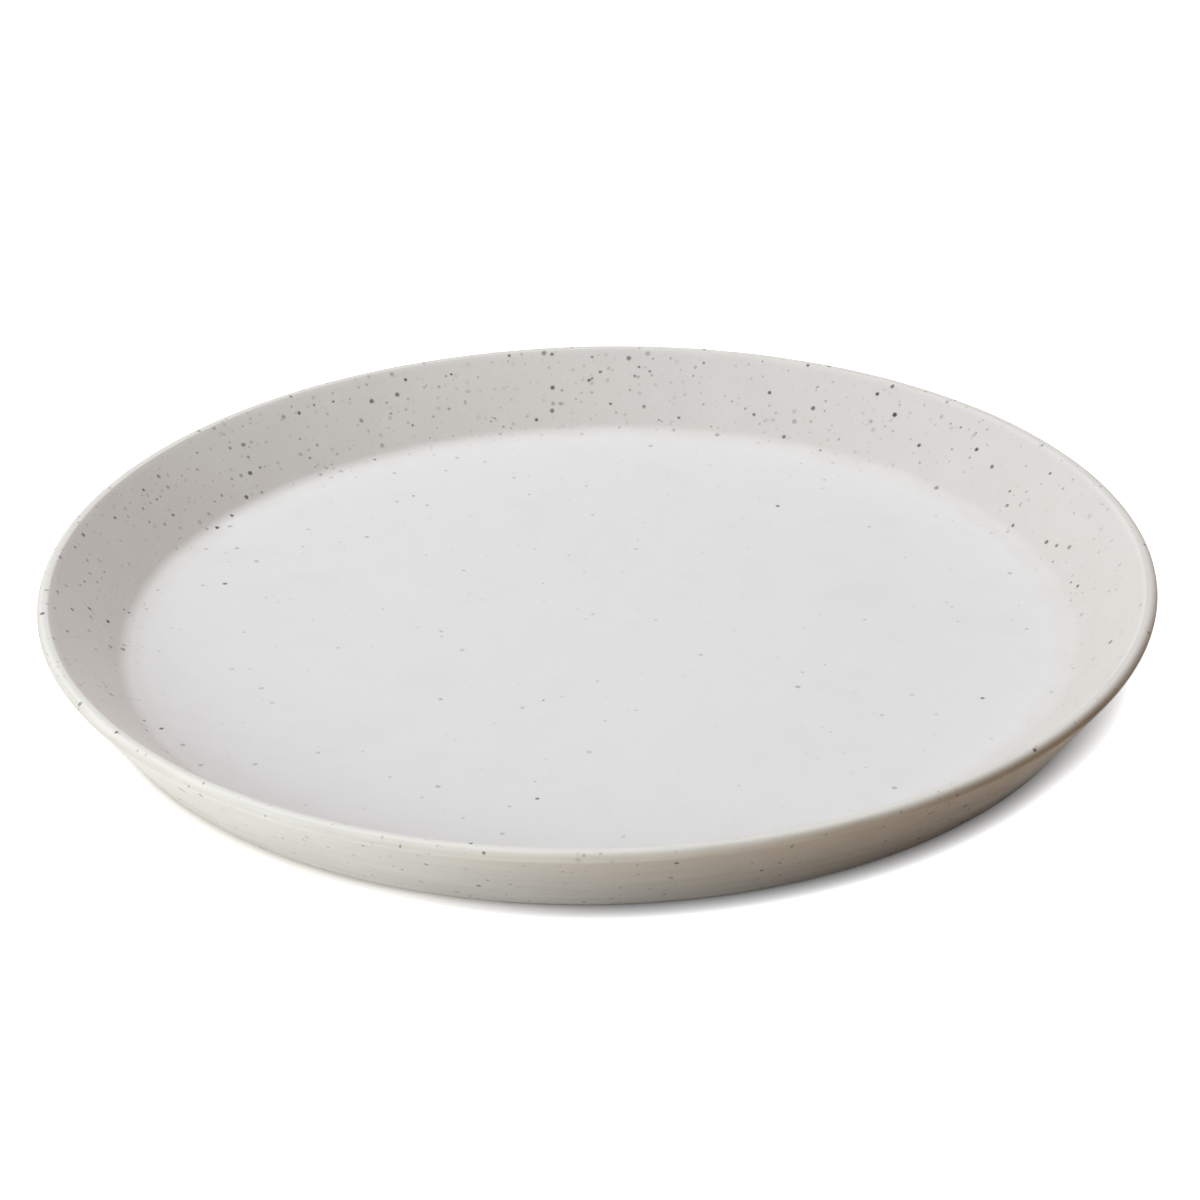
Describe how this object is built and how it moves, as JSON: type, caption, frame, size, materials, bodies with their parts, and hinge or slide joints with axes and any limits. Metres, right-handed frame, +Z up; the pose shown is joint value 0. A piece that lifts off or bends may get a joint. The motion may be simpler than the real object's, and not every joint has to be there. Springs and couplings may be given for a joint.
{
  "type": "dinner plate",
  "caption": "Round rimless stoneware dinner plate with a flat floor, a straight canted wall, a narrow flat-topped lip, a speckled satin glaze and a bare standing ring.",
  "frame": {"origin": "middle of the standing face, on the table", "axes": "+Z up along the plate's axis of revolution, X and Y any two directions across it"},
  "size_m": [0.27, 0.27, 0.0225],
  "materials": {
    "stoneware": "bare fired clay, matt and slightly sandy",
    "speckled_glaze": "warm white satin glaze with brown iron specks",
    "base_glaze": "the same satin glaze, thinner, with brown iron specks"
  },
  "bodies": {
    "root": {"stoneware_body": "stoneware", "glaze_coat": "speckled_glaze", "base_glaze": "base_glaze"}
  },
  "joints": []
}
